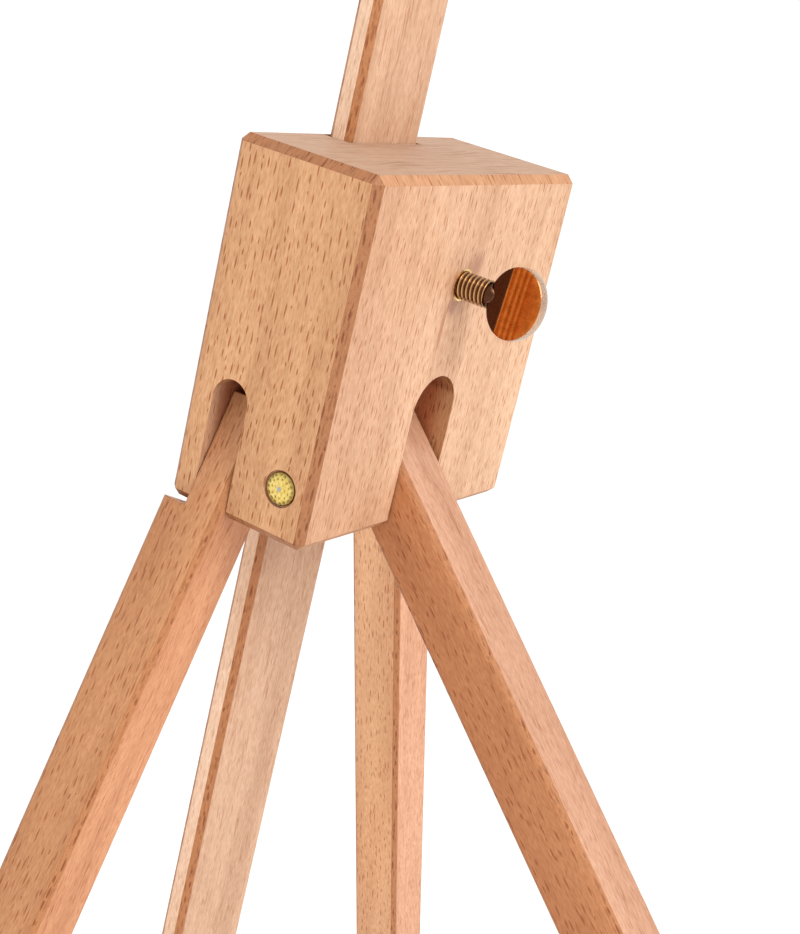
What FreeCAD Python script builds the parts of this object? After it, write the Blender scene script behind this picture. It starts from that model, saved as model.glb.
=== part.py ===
import FreeCAD, Part
import os, math
from FreeCAD import Vector, Rotation, Placement

# Tripod table easel in beech: a head block that carries a flat sliding mast,
# two side legs and a rear leg, with a canvas ledge low on the mast and a
# canvas holder near its top.  Millimetres, +Z up, table plane at Z = 0,
# the picture side faces -Y and +X is the left hand seen from behind.
#
# Most pieces are drawn in the head block's own axes: u across, v front to
# back, w along the mast.  The whole head leans back by lean_deg.

os.makedirs("parts", exist_ok=True)
doc = FreeCAD.newDocument("table_easel")

# ---------------------------------------------------------------- dimensions
sheet = doc.addObject("Spreadsheet::Sheet", "Dims")
DIMS = [
    # head block
    ("hub_wide", 78.0), ("hub_deep", 34.6), ("hub_tall", 76.0), ("hub_edge", 1.7),
    ("hub_height", 292.0), ("hub_back", -61.17), ("lean_deg", 15.3),
    # mast and the mortises it slides in
    ("mast_wide", 26.6), ("mast_thick", 6.0), ("mast_front", 2.5), ("mast_edge", 1.5),
    ("mast_low", 225.0), ("mast_long", 471.0), ("mast_gap", 0.3),
    ("stop_radius", 2.0), ("stop_long", 12.0), ("stop_rise", 5.0),
    # legs
    ("leg_thick", 14.8), ("leg_wide", 14.7), ("leg_edge", 1.2), ("leg_blank", 375.0),
    ("leg_top", 11.0), ("leg_front", 0.5), ("tongue_front", 6.7), ("shoulder", 14.3),
    ("rear_wide", 14.8), ("side_deg", 21.0), ("rear_deg", 45.4),
    ("side_pivot_u", 29.6), ("pivot_w", 11.2), ("rear_pivot_v", 27.1),
    # slots for the leg tongues
    ("side_slot_v", 6.5), ("side_slot_wide", 8.9), ("side_slot_in", 18.7), ("side_slot_top", 28.4),
    ("rear_slot_wide", 15.8), ("rear_slot_in", 13.95), ("rear_slot_top", 33.3),
    # pivot rivets
    ("pin_radius", 2.0), ("pin_fit", 0.02), ("pin_run", 0.05), ("pin_head", 3.45),
    ("pin_rise", 1.15), ("sink_radius", 3.85), ("sink_deep", 0.8),
    ("side_pin_long", 19.2), ("rear_pin_long", 71.2),
    # M6 thumb screws, their inserts and pressure shoes
    ("screw_radius", 2.97), ("insert_bore", 3.02), ("insert_radius", 3.5),
    ("clear_radius", 3.25), ("shoe_radius", 4.6), ("shoe_thick", 1.5),
    ("shoe_room", 4.9), ("shoe_travel", 3.9), ("spade_high", 7.65), ("spade_long", 6.3),
    ("spade_thick", 3.4), ("neck_radius", 2.3),
    ("hub_screw_w", 53.2), ("hub_screw_long", 31.8), ("hub_insert_long", 12.0),
    ("ledge_screw_w", 12.0), ("ledge_screw_long", 22.0), ("ledge_insert_long", 9.0),
    ("hold_screw_w", 16.0), ("hold_screw_long", 18.0), ("hold_insert_long", 8.0),
    # canvas ledge
    ("ledge_w", 212.0), ("ledge_half", 20.5), ("ledge_tall", 36.0), ("ledge_step", 26.0),
    ("ledge_nose", 14.0), ("ledge_seat", 1.5), ("ledge_back", 15.0),
    ("shelf_half", 72.0), ("shelf_deep", 28.5), ("shelf_thick", 10.0), ("shelf_edge", 1.0),
    ("lip_thick", 6.0), ("lip_tall", 19.0),
    # canvas holder
    ("hold_w", 190.0), ("hold_tall", 32.0), ("hold_nose", 5.0), ("hold_back", 21.0),
    ("jaw_deep", 29.0), ("jaw_tall", 13.0), ("jaw_lip", 5.0), ("jaw_heel", 2.5), ("jaw_notch", 5.0),
    # wood screws, feet
    ("wood_radius", 1.75), ("wood_fit", 0.03), ("wood_head", 3.4), ("wood_cone", 2.2),
    ("ledge_wood_long", 33.0), ("ledge_wood_u", 13.5), ("ledge_wood_v", 8.0),
    ("jaw_wood_long", 40.0), ("jaw_wood_u", 16.8), ("jaw_wood_w", 7.0),
    ("foot_thick", 4.0), ("foot_edge", 1.6),
    ("nail_radius", 0.9), ("nail_head", 2.0), ("nail_cap", 0.7), ("nail_long", 16.0),
    ("nail_hole", 0.93), ("nail_recess", 2.4),
]
N = {}
for row, (alias, value) in enumerate(DIMS, start=1):
    sheet.set("A%d" % row, alias)
    sheet.set("B%d" % row, repr(value))
    sheet.setAlias("B%d" % row, alias)
    N[alias] = value
doc.recompute()


class Size:
    """A length that knows its number and the sheet expression it comes from."""

    def __init__(self, number, text):
        self.n = float(number)
        self.t = text

    @staticmethod
    def of(x):
        return x if isinstance(x, Size) else Size(x, repr(float(x)))

    def __add__(self, o):
        o = Size.of(o)
        return Size(self.n + o.n, "(%s + %s)" % (self.t, o.t))

    __radd__ = __add__

    def __sub__(self, o):
        o = Size.of(o)
        return Size(self.n - o.n, "(%s - %s)" % (self.t, o.t))

    def __rsub__(self, o):
        return Size.of(o) - self

    def __mul__(self, k):
        return Size(self.n * k, "(%s * %s)" % (self.t, repr(float(k))))

    __rmul__ = __mul__

    def __truediv__(self, k):
        return Size(self.n / k, "(%s / %s)" % (self.t, repr(float(k))))

    def __neg__(self):
        return Size(-self.n, "(0 - %s)" % self.t)


D = {a: Size(v, "Dims." + a) for a, v in DIMS}

# ---------------------------------------------------------------- frames
LEAN = N["lean_deg"]
HEAD = Placement(Vector(0, N["hub_back"], N["hub_height"]), Rotation(Vector(1, 0, 0), -LEAN))


def in_head(u, v, w, rot=None):
    return HEAD.multiply(Placement(Vector(u, v, w), rot or Rotation()))


BACKWARD = Rotation(Vector(1, 0, 0), -90)   # local +Z points to +v
FORWARD = Rotation(Vector(1, 0, 0), 90)     # local +Z points to -v
LEFTWARD = Rotation(Vector(0, 1, 0), 90)    # local +Z points to +u


# ---------------------------------------------------------------- helpers
def origin_plane(body, role):
    for f in body.Origin.OriginFeatures:
        if f.Role == role:
            return f
    raise RuntimeError(role)


def new_body(name):
    return doc.addObject("PartDesign::Body", name)


NORMAL = {"XY_Plane": 1, "YZ_Plane": 1, "XZ_Plane": -1}


def new_sketch(body, name, plane, at):
    at = Size.of(at)
    sk = body.newObject("Sketcher::SketchObject", name)
    sk.AttachmentSupport = [(origin_plane(body, plane), "")]
    sk.MapMode = "FlatFace"
    off = at * NORMAL[plane]
    sk.AttachmentOffset = Placement(Vector(0, 0, off.n), Rotation())
    sk.setExpression(".AttachmentOffset.Base.z", off.t)
    return sk


def loop(sk, pts):
    import Sketcher
    pts = [(Size.of(x), Size.of(y)) for x, y in pts]
    n = len(pts)
    first = sk.GeometryCount
    sk.addGeometry([Part.LineSegment(Vector(pts[i][0].n, pts[i][1].n, 0),
                                     Vector(pts[(i + 1) % n][0].n, pts[(i + 1) % n][1].n, 0))
                    for i in range(n)], False)
    for i in range(n):
        sk.addConstraint(Sketcher.Constraint("Coincident", first + i, 2, first + (i + 1) % n, 1))
    for i in range(n):
        k = sk.addConstraint(Sketcher.Constraint("DistanceX", -1, 1, first + i, 1, pts[i][0].n))
        sk.setExpression("Constraints[%d]" % k, pts[i][0].t)
        k = sk.addConstraint(Sketcher.Constraint("DistanceY", -1, 1, first + i, 1, pts[i][1].n))
        sk.setExpression("Constraints[%d]" % k, pts[i][1].t)


def box2(sk, x0, x1, y0, y1):
    loop(sk, [(x0, y0), (x1, y0), (x1, y1), (x0, y1)])


def ring(sk, x, y, r):
    import Sketcher
    x, y, r = Size.of(x), Size.of(y), Size.of(r)
    g = sk.GeometryCount
    sk.addGeometry(Part.Circle(Vector(x.n, y.n, 0), Vector(0, 0, 1), r.n), False)
    k = sk.addConstraint(Sketcher.Constraint("Radius", g, r.n))
    sk.setExpression("Constraints[%d]" % k, r.t)
    k = sk.addConstraint(Sketcher.Constraint("DistanceX", -1, 1, g, 3, x.n))
    sk.setExpression("Constraints[%d]" % k, x.t)
    k = sk.addConstraint(Sketcher.Constraint("DistanceY", -1, 1, g, 3, y.n))
    sk.setExpression("Constraints[%d]" % k, y.t)


def pad(body, sk, length, toward=1):
    f = body.newObject("PartDesign::Pad", sk.Name + "_pad")
    f.Profile = sk
    f.Length = Size.of(length).n
    f.setExpression("Length", Size.of(length).t)
    plane = sk.AttachmentSupport[0][0].Role
    f.Reversed = (toward * NORMAL[plane] < 0)
    sk.Visibility = False
    doc.recompute()
    body.Tip = f
    return f


def cut(body, sk, length, toward=1):
    before = body.Shape.Volume
    f = body.newObject("PartDesign::Pocket", sk.Name + "_cut")
    f.Profile = sk
    f.Type = 0
    f.Length = Size.of(length).n
    f.setExpression("Length", Size.of(length).t)
    plane = sk.AttachmentSupport[0][0].Role
    f.Reversed = (toward * NORMAL[plane] > 0)
    doc.recompute()
    body.Tip = f
    if not body.Shape.Volume < before - 1e-3:
        raise RuntimeError("pocket cuts nothing: " + sk.Name)
    return f


def turn(body, sk, name):
    f = body.newObject("PartDesign::Revolution", name)
    f.Profile = sk
    f.ReferenceAxis = (sk, ["V_Axis"])
    f.Angle = 360.0
    doc.recompute()
    body.Tip = f
    return f


def bevel(body, size, pick, name):
    last = body.Tip
    edges = ["Edge%d" % (i + 1) for i, e in enumerate(last.Shape.Edges) if pick(e)]
    f = body.newObject("PartDesign::Chamfer", name)
    f.Base = (last, edges)
    f.Size = Size.of(size).n
    f.setExpression("Size", Size.of(size).t)
    doc.recompute()
    body.Tip = f
    return f


def along(e, axis, longer):
    if e.Length < longer or len(e.Vertexes) != 2:
        return False
    d = e.Vertexes[1].Point - e.Vertexes[0].Point
    return abs(d.dot(axis)) > 0.999 * d.Length


nodes = []


def finish(obj, label, place=None):
    obj.Label = label
    if place is not None:
        obj.Placement = place
    nodes.append(obj)
    return obj


def cylinder(name, radius, height):
    c = doc.addObject("Part::Cylinder", name)
    c.setExpression("Radius", Size.of(radius).t)
    c.setExpression("Height", Size.of(height).t)
    return c


def boolean(kind, name, base, tool):
    b = doc.addObject(kind, name)
    b.Base = base
    b.Tool = tool
    return b


# ---------------------------------------------------------------- head block
b = new_body("HubBody")
s = new_sketch(b, "hub_blank", "XY_Plane", 0)
box2(s, -D["hub_wide"] / 2, D["hub_wide"] / 2, 0, D["hub_deep"])
pad(b, s, D["hub_tall"])
bevel(b, D["hub_edge"], lambda e: True, "hub_edges")
s = new_sketch(b, "hub_mortise", "XY_Plane", -1)
box2(s, -D["mast_wide"] / 2 - D["mast_gap"], D["mast_wide"] / 2 + D["mast_gap"],
     D["mast_front"] - D["mast_gap"], D["mast_front"] + D["mast_thick"] + D["mast_gap"])
cut(b, s, D["hub_tall"] + 2)
half = D["side_slot_wide"] / 2
arch = D["side_slot_top"] - half
deep = D["hub_wide"] / 2 - D["side_slot_in"] + 1
for tag, sign in (("left", 1), ("right", -1)):
    s = new_sketch(b, "slot_%s" % tag, "YZ_Plane", D["side_slot_in"] * sign)
    box2(s, D["side_slot_v"], D["side_slot_v"] + D["side_slot_wide"], -1, arch)
    cut(b, s, deep, sign)
    s = new_sketch(b, "slot_arch_%s" % tag, "YZ_Plane", D["side_slot_in"] * sign)
    ring(s, D["side_slot_v"] + half, arch, half)
    cut(b, s, deep, sign)
half = D["rear_slot_wide"] / 2
arch = D["rear_slot_top"] - half
deep = D["hub_deep"] - D["rear_slot_in"] + 1
s = new_sketch(b, "slot_rear", "XZ_Plane", D["rear_slot_in"])
box2(s, -half, half, -1, arch)
cut(b, s, deep)
s = new_sketch(b, "slot_arch_rear", "XZ_Plane", D["rear_slot_in"])
ring(s, 0, arch, half)
cut(b, s, deep)
for tag, sign in (("left", 1), ("right", -1)):
    s = new_sketch(b, "side_pin_hole_%s" % tag, "XZ_Plane", -1)
    ring(s, D["side_pivot_u"] * sign, D["pivot_w"], D["pin_radius"] + D["pin_fit"])
    cut(b, s, D["side_pin_long"] + D["sink_deep"] + 2)
    s = new_sketch(b, "side_pin_sink_%s" % tag, "XZ_Plane", -1)
    ring(s, D["side_pivot_u"] * sign, D["pivot_w"], D["sink_radius"])
    cut(b, s, D["sink_deep"] + 1)
s = new_sketch(b, "rear_pin_hole", "YZ_Plane", D["hub_wide"] / 2 + 1)
ring(s, D["rear_pivot_v"], D["pivot_w"], D["pin_radius"] + D["pin_fit"])
cut(b, s, D["rear_pin_long"] + D["sink_deep"] + 2, -1)
s = new_sketch(b, "rear_pin_sink", "YZ_Plane", D["hub_wide"] / 2 + 1)
ring(s, D["rear_pivot_v"], D["pivot_w"], D["sink_radius"])
cut(b, s, D["sink_deep"] + 1, -1)
# screw hole: pocket for the shoe, clearance for the thread, seat for the insert
back = D["mast_front"] + D["mast_thick"]
s = new_sketch(b, "shoe_room", "XZ_Plane", back)
ring(s, 0, D["hub_screw_w"], D["shoe_room"])
cut(b, s, D["shoe_travel"])
s = new_sketch(b, "thread_room", "XZ_Plane", back)
ring(s, 0, D["hub_screw_w"], D["clear_radius"])
cut(b, s, D["hub_deep"] - back + 1)
s = new_sketch(b, "insert_seat", "XZ_Plane", D["hub_deep"] - D["hub_insert_long"])
ring(s, 0, D["hub_screw_w"], D["insert_radius"])
cut(b, s, D["hub_insert_long"] + 1)
finish(b, "hub_block", HEAD)

# ---------------------------------------------------------------- pivot rivets


def rivet(name, length):
    rb = new_body(name)
    sk = new_sketch(rb, name + "_outline", "XZ_Plane", 0)
    r, h, z = D["pin_radius"], D["pin_head"], Size.of(length)
    loop(sk, [(0, 0), (r - 0.4, 0), (r, 0.6), (r, z), (h, z), (h, z + 0.45), (h - 0.55, z + 0.85),
              (h - 1.5, z + D["pin_rise"]), (0, z + D["pin_rise"])])
    turn(rb, sk, name + "_turned")
    return rb


for tag, sign in (("left", 1), ("right", -1)):
    p = rivet("PinBody_" + tag, D["side_pin_long"])
    finish(p, "pin_" + tag, in_head(sign * N["side_pivot_u"], N["sink_deep"] + N["side_pin_long"],
                                    N["pivot_w"], FORWARD))
p = rivet("PinBody_rear", D["rear_pin_long"])
finish(p, "pin_rear", in_head(N["hub_wide"] / 2 - N["sink_deep"] - N["rear_pin_long"],
                              N["rear_pivot_v"], N["pivot_w"], LEFTWARD))

# ---------------------------------------------------------------- mast
b = new_body("MastBody")
s = new_sketch(b, "mast_section", "XY_Plane", 0)
box2(s, -D["mast_wide"] / 2, D["mast_wide"] / 2, 0, D["mast_thick"])
pad(b, s, D["mast_long"])
bevel(b, D["mast_edge"], lambda e: along(e, Vector(0, 0, 1), 100), "mast_arris")
s = new_sketch(b, "stop_hole", "XZ_Plane", -1)
ring(s, 0, D["stop_rise"], D["stop_radius"] + 0.02)
cut(b, s, D["mast_thick"] + 2)
finish(b, "mast", in_head(0, N["mast_front"], -N["mast_low"]))
c = cylinder("StopDowel", D["stop_radius"], D["stop_long"])
finish(c, "mast_stop", in_head(0, N["mast_front"] + N["mast_thick"] / 2 - N["stop_long"] / 2,
                               -N["mast_low"] + N["stop_rise"], BACKWARD))

# ---------------------------------------------------------------- legs and feet
GROUND = 60.0


def ground_slab(name, low, high):
    g = doc.addObject("Part::Box", name)
    g.Length = 800.0
    g.Width = 800.0
    g.Height = high - low
    g.Placement = Placement(Vector(-400, -400, low), Rotation())
    return g


def reach(place, height):
    """Distance down the leg's centre line, from its pivot to a given height."""
    down = place.Rotation.multVec(Vector(0, 0, -1))
    return (place.Base.z - height) / -down.z


def leg(tag, place, side, front, tongue):
    """One leg in its own axes: pivot at the origin, foot towards -Z."""
    lb = new_body("LegBody_" + tag)
    t = D["leg_thick"] / 2
    wide = D["leg_wide"] if side else D["rear_wide"]
    # side legs: thickness in x, width in y.  rear leg: width in x, thickness in y
    if side:
        sk = new_sketch(lb, "leg_side_" + tag, "XZ_Plane", front)
        box2(sk, -t, t, -D["leg_blank"], D["leg_top"])
        pad(lb, sk, wide)
    else:
        sk = new_sketch(lb, "leg_side_" + tag, "YZ_Plane", -wide / 2)
        box2(sk, -t, t, -D["leg_blank"], D["leg_top"])
        pad(lb, sk, wide)
    bevel(lb, D["leg_edge"], lambda e: along(e, Vector(0, 0, 1), 100), "leg_arris_" + tag)
    if side:
        sk = new_sketch(lb, "leg_shoulder_" + tag, "XZ_Plane", front - 1)
        box2(sk, -t - 1, t + 1, -D["shoulder"], D["leg_top"] + 1)
        cut(lb, sk, tongue - front + 1)
        sk = new_sketch(lb, "leg_bore_" + tag, "XZ_Plane", front - 1)
        ring(sk, 0, 0, D["pin_radius"] + D["pin_run"])
        cut(lb, sk, wide + 2)
    else:
        sk = new_sketch(lb, "leg_bore_" + tag, "YZ_Plane", -wide / 2 - 1)
        ring(sk, 0, 0, D["pin_radius"] + D["pin_run"])
        cut(lb, sk, wide + 2)
    # centre line of the section in the leg's own axes
    mid = Vector(0, Size.of(front).n + wide.n / 2, 0) if side else Vector(0, 0, 0)
    axis_place = place.multiply(Placement(mid, Rotation()))
    # nail: head recessed in the rubber, shank up the middle of the leg
    head_at = reach(axis_place, 2.0)
    nail_at = axis_place.multiply(Placement(Vector(0, 0, -head_at), Rotation()))
    hole = cylinder("NailHole_" + tag, D["nail_hole"], D["nail_long"] + 1.0)
    hole.Placement = nail_at
    lb.Placement = place
    slab = ground_slab("Trim_" + tag, -GROUND, N["foot_thick"])
    trimmed = boolean("Part::Cut", "LegTrim_" + tag, lb, slab)
    whole = boolean("Part::Cut", "Leg_" + tag, trimmed, hole)
    finish(whole, "leg_" + tag)
    # rubber foot: a slice of the same section, level on the table
    fb = new_body("FootBody_" + tag)
    if side:
        sk = new_sketch(fb, "foot_side_" + tag, "XZ_Plane", front)
    else:
        sk = new_sketch(fb, "foot_side_" + tag, "YZ_Plane", -wide / 2)
    box2(sk, -t, t, -D["leg_blank"], -D["leg_blank"] + 90)
    pad(fb, sk, wide)
    bevel(fb, D["foot_edge"], lambda e: along(e, Vector(0, 0, 1), 60), "foot_arris_" + tag)
    fb.Placement = place
    layer = ground_slab("Layer_" + tag, 0.0, N["foot_thick"])
    slice_ = doc.addObject("Part::MultiCommon", "FootSlice_" + tag)
    slice_.Shapes = [fb, layer]
    recess = cylinder("NailRecess_" + tag, D["nail_recess"], D["nail_cap"] + 12)
    recess.Placement = nail_at.multiply(Placement(Vector(0, 0, -12), Rotation()))
    hole2 = cylinder("NailHoleFoot_" + tag, D["nail_hole"], 12)
    hole2.Placement = nail_at
    cut1 = boolean("Part::Cut", "FootCut_" + tag, slice_, recess)
    foot = boolean("Part::Cut", "Foot_" + tag, cut1, hole2)
    finish(foot, "foot_" + tag)
    nb = new_body("NailBody_" + tag)
    sk = new_sketch(nb, "nail_outline_" + tag, "XZ_Plane", 0)
    loop(sk, [(0, 0), (D["nail_head"], 0), (D["nail_head"], D["nail_cap"]),
              (D["nail_radius"], D["nail_cap"]), (D["nail_radius"], D["nail_long"] - 1.5),
              (0.2, D["nail_long"]), (0, D["nail_long"])])
    turn(nb, sk, "nail_turned_" + tag)
    finish(nb, "foot_nail_" + tag, nail_at)


LEG_PLACE = {
    "left": in_head(N["side_pivot_u"], 0, N["pivot_w"], Rotation(Vector(0, 1, 0), -N["side_deg"])),
    "right": in_head(-N["side_pivot_u"], 0, N["pivot_w"], Rotation(Vector(0, 1, 0), N["side_deg"])),
    "rear": in_head(0, N["rear_pivot_v"], N["pivot_w"], Rotation(Vector(1, 0, 0), N["rear_deg"])),
}
leg("left", LEG_PLACE["left"], True, D["leg_front"], D["tongue_front"])
leg("right", LEG_PLACE["right"], True, D["leg_front"], D["tongue_front"])
leg("rear", LEG_PLACE["rear"], False, Size.of(0), Size.of(0))

# ---------------------------------------------------------------- thumb screws


def thumb_screw(tag, length):
    """M6 screw along +Z with its tip at the origin and a flat spade head."""
    length = Size.of(length)
    shaft = cylinder("Thread_" + tag, D["screw_radius"], length)
    neck = doc.addObject("Part::Cone", "Neck_" + tag)
    neck.setExpression("Radius1", D["screw_radius"].t)
    neck.setExpression("Radius2", D["neck_radius"].t)
    neck.Height = 3.0
    neck.Placement = Placement(Vector(0, 0, length.n), Rotation())
    oval = doc.addObject("Part::Ellipse", "SpadeOutline_" + tag)
    oval.setExpression("MajorRadius", D["spade_high"].t)
    oval.setExpression("MinorRadius", D["spade_long"].t)
    blade = doc.addObject("Part::Extrusion", "SpadeBlade_" + tag)
    blade.Base = oval
    blade.DirMode = "Normal"
    blade.Solid = True
    blade.Symmetric = True
    blade.LengthFwd = N["spade_thick"]
    blade.setExpression("LengthFwd", D["spade_thick"].t)
    blade.Placement = Placement(Vector(0, 0, length.n - 0.4 + N["spade_long"]),
                                Rotation(Vector(1, 1, 1), 120))
    whole = doc.addObject("Part::MultiFuse", "ThumbScrew_" + tag)
    whole.Shapes = [shaft, neck, blade]
    whole.Refine = True
    doc.recompute()
    return whole


def insert(tag, length):
    outer = cylinder("InsertOuter_" + tag, D["insert_radius"] - 0.02, length)
    inner = cylinder("InsertBore_" + tag, D["insert_bore"], length)
    return boolean("Part::Cut", "Insert_" + tag, outer, inner)


def shoe(tag):
    return cylinder("Shoe_" + tag, D["shoe_radius"], D["shoe_thick"])


back = N["mast_front"] + N["mast_thick"]
tilt = Rotation(Vector(0, 0, 1), 8.0)
finish(insert("hub", D["hub_insert_long"]), "hub_insert",
       in_head(0, N["hub_deep"] - N["hub_insert_long"], N["hub_screw_w"], BACKWARD))
finish(shoe("hub"), "hub_shoe", in_head(0, back, N["hub_screw_w"], BACKWARD))
finish(thumb_screw("hub", D["hub_screw_long"]), "hub_screw",
       in_head(0, back + N["shoe_thick"], N["hub_screw_w"], BACKWARD.multiply(tilt)))

# ---------------------------------------------------------------- canvas ledge
# slider in its own axes: mast channel through it, step in front for the shelf
lw = -N["ledge_w"]
b = new_body("LedgeSliderBody")
s = new_sketch(b, "ledge_profile", "YZ_Plane", -D["ledge_half"])
loop(s, [(-D["ledge_nose"], 0), (D["ledge_back"], 0), (D["ledge_back"], D["ledge_tall"]),
         (-D["ledge_seat"], D["ledge_tall"]), (-D["ledge_seat"], D["ledge_step"]),
         (-D["ledge_nose"], D["ledge_step"])])
pad(b, s, D["ledge_half"] * 2)
bevel(b, 0.8, lambda e: (along(e, Vector(0, 0, 1), 10) and abs(e.CenterOfMass.y - N["ledge_back"]) < 0.01)
      or (e.Length > 10 and abs(e.CenterOfMass.z) < 0.01), "ledge_arris")
s = new_sketch(b, "ledge_mortise", "XY_Plane", -1)
box2(s, -D["mast_wide"] / 2 - D["mast_gap"], D["mast_wide"] / 2 + D["mast_gap"],
     D["mast_front"] - D["mast_gap"], D["mast_front"] + D["mast_thick"] + D["mast_gap"])
cut(b, s, D["ledge_tall"] + 2)
s = new_sketch(b, "ledge_shoe_room", "XZ_Plane", D["mast_front"])
ring(s, 0, D["ledge_screw_w"], D["shoe_room"])
cut(b, s, D["shoe_travel"], -1)
s = new_sketch(b, "ledge_thread_room", "XZ_Plane", D["mast_front"])
ring(s, 0, D["ledge_screw_w"], D["clear_radius"])
cut(b, s, D["mast_front"] + D["ledge_nose"] + 1, -1)
s = new_sketch(b, "ledge_insert_seat", "XZ_Plane", -D["ledge_nose"] + D["ledge_insert_long"])
ring(s, 0, D["ledge_screw_w"], D["insert_radius"])
cut(b, s, D["ledge_insert_long"] + 1, -1)
for tag, sign in (("a", 1), ("b", -1)):
    s = new_sketch(b, "ledge_wood_hole_" + tag, "XY_Plane", -1)
    ring(s, D["ledge_wood_u"] * sign, -D["ledge_wood_v"], D["wood_radius"] + D["wood_fit"])
    cut(b, s, D["ledge_step"] + 2)
    s = new_sketch(b, "ledge_wood_sink_" + tag, "XY_Plane", -1)
    ring(s, D["ledge_wood_u"] * sign, -D["ledge_wood_v"], D["wood_head"] + 0.1)
    cut(b, s, D["wood_cone"] + 2.55)
finish(b, "ledge_slider", in_head(0, 0, lw))

b = new_body("ShelfBody")
s = new_sketch(b, "shelf_plan", "XY_Plane", 0)
box2(s, -D["shelf_half"], D["shelf_half"], 0, D["shelf_deep"])
pad(b, s, D["shelf_thick"])
bevel(b, D["shelf_edge"], lambda e: along(e, Vector(1, 0, 0), 100) and e.CenterOfMass.y > 1
      or along(e, Vector(0, 1, 0), 20), "shelf_arris")
for tag, sign in (("a", 1), ("b", -1)):
    s = new_sketch(b, "shelf_wood_hole_" + tag, "XY_Plane", -1)
    ring(s, D["ledge_wood_u"] * sign, D["shelf_deep"] + D["ledge_seat"] - D["ledge_wood_v"],
         D["wood_radius"] + D["wood_fit"])
    cut(b, s, D["ledge_wood_long"] + 1.6 - D["ledge_step"] + 1.2)
finish(b, "ledge_shelf", in_head(0, -N["ledge_seat"] - N["shelf_deep"], lw + N["ledge_step"]))

b = new_body("LipBody")
s = new_sketch(b, "lip_front", "XZ_Plane", 0)
c = Size.of(4.0)
hx, ht = D["shelf_half"], D["lip_tall"]
loop(s, [(-hx, 0), (hx, 0), (hx, ht - c), (hx - c, ht), (c - hx, ht), (-hx, ht - c)])
pad(b, s, D["lip_thick"])
bevel(b, D["shelf_edge"], lambda e: e.Length > 4.5 and abs(e.CenterOfMass.y) < 0.01
      or (along(e, Vector(1, 0, 0), 100) and e.CenterOfMass.z > 5), "lip_arris")
finish(b, "ledge_lip", in_head(0, -N["ledge_seat"] - N["shelf_deep"] - N["lip_thick"], lw + N["ledge_step"]))


def wood_screw(tag, length):
    wb = new_body("WoodScrewBody_" + tag)
    sk = new_sketch(wb, "wood_outline_" + tag, "XZ_Plane", 0)
    length = Size.of(length)
    loop(sk, [(0, 0), (D["wood_head"], 0), (D["wood_head"], 0.4), (D["wood_radius"], D["wood_cone"]),
              (D["wood_radius"], length - 4), (0.3, length), (0, length)])
    turn(wb, sk, "wood_turned_" + tag)
    return wb


def pair(name, one, two):
    g = doc.addObject("Part::Compound", name)
    g.Links = [one, two]
    return g


w1 = wood_screw("ledge_a", D["ledge_wood_long"])
w2 = wood_screw("ledge_b", D["ledge_wood_long"])
w1.Placement = Placement(Vector(N["ledge_wood_u"], -N["ledge_wood_v"], 1.5), Rotation())
w2.Placement = Placement(Vector(-N["ledge_wood_u"], -N["ledge_wood_v"], 1.5), Rotation())
finish(pair("LedgeWoodScrews", w1, w2), "ledge_wood_screws", in_head(0, 0, lw))

sw = lw + N["ledge_screw_w"]
finish(insert("ledge", D["ledge_insert_long"]), "ledge_insert",
       in_head(0, -N["ledge_nose"] + N["ledge_insert_long"], sw, FORWARD))
finish(shoe("ledge"), "ledge_shoe", in_head(0, N["mast_front"], sw, FORWARD))
finish(thumb_screw("ledge", D["ledge_screw_long"]), "ledge_screw",
       in_head(0, N["mast_front"] - N["shoe_thick"], sw, FORWARD))

# ---------------------------------------------------------------- canvas holder
hw = N["hold_w"]
b = new_body("HolderSliderBody")
s = new_sketch(b, "holder_plan", "XY_Plane", 0)
box2(s, -D["ledge_half"], D["ledge_half"], -D["hold_nose"], D["hold_back"])
pad(b, s, D["hold_tall"])
bevel(b, 0.8, lambda e: abs(e.CenterOfMass.y + N["hold_nose"]) > 0.01, "holder_arris")
s = new_sketch(b, "holder_mortise", "XY_Plane", -1)
box2(s, -D["mast_wide"] / 2 - D["mast_gap"], D["mast_wide"] / 2 + D["mast_gap"],
     D["mast_front"] - D["mast_gap"], D["mast_front"] + D["mast_thick"] + D["mast_gap"])
cut(b, s, D["hold_tall"] + 2)
mb = D["mast_front"] + D["mast_thick"]
s = new_sketch(b, "holder_shoe_room", "XZ_Plane", mb)
ring(s, 0, D["hold_screw_w"], D["shoe_room"])
cut(b, s, D["shoe_travel"])
s = new_sketch(b, "holder_thread_room", "XZ_Plane", mb)
ring(s, 0, D["hold_screw_w"], D["clear_radius"])
cut(b, s, D["hold_back"] - mb + 1)
s = new_sketch(b, "holder_insert_seat", "XZ_Plane", D["hold_back"] - D["hold_insert_long"])
ring(s, 0, D["hold_screw_w"], D["insert_radius"])
cut(b, s, D["hold_insert_long"] + 1)
for tag, sign in (("a", 1), ("b", -1)):
    s = new_sketch(b, "holder_wood_hole_" + tag, "XZ_Plane", -D["hold_nose"] - 1)
    ring(s, D["jaw_wood_u"] * sign, D["jaw_wood_w"], D["wood_radius"] + D["wood_fit"])
    cut(b, s, D["jaw_wood_long"] + 1.6 - D["jaw_deep"] + 2)
finish(b, "holder_slider", in_head(0, 0, hw))

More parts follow.
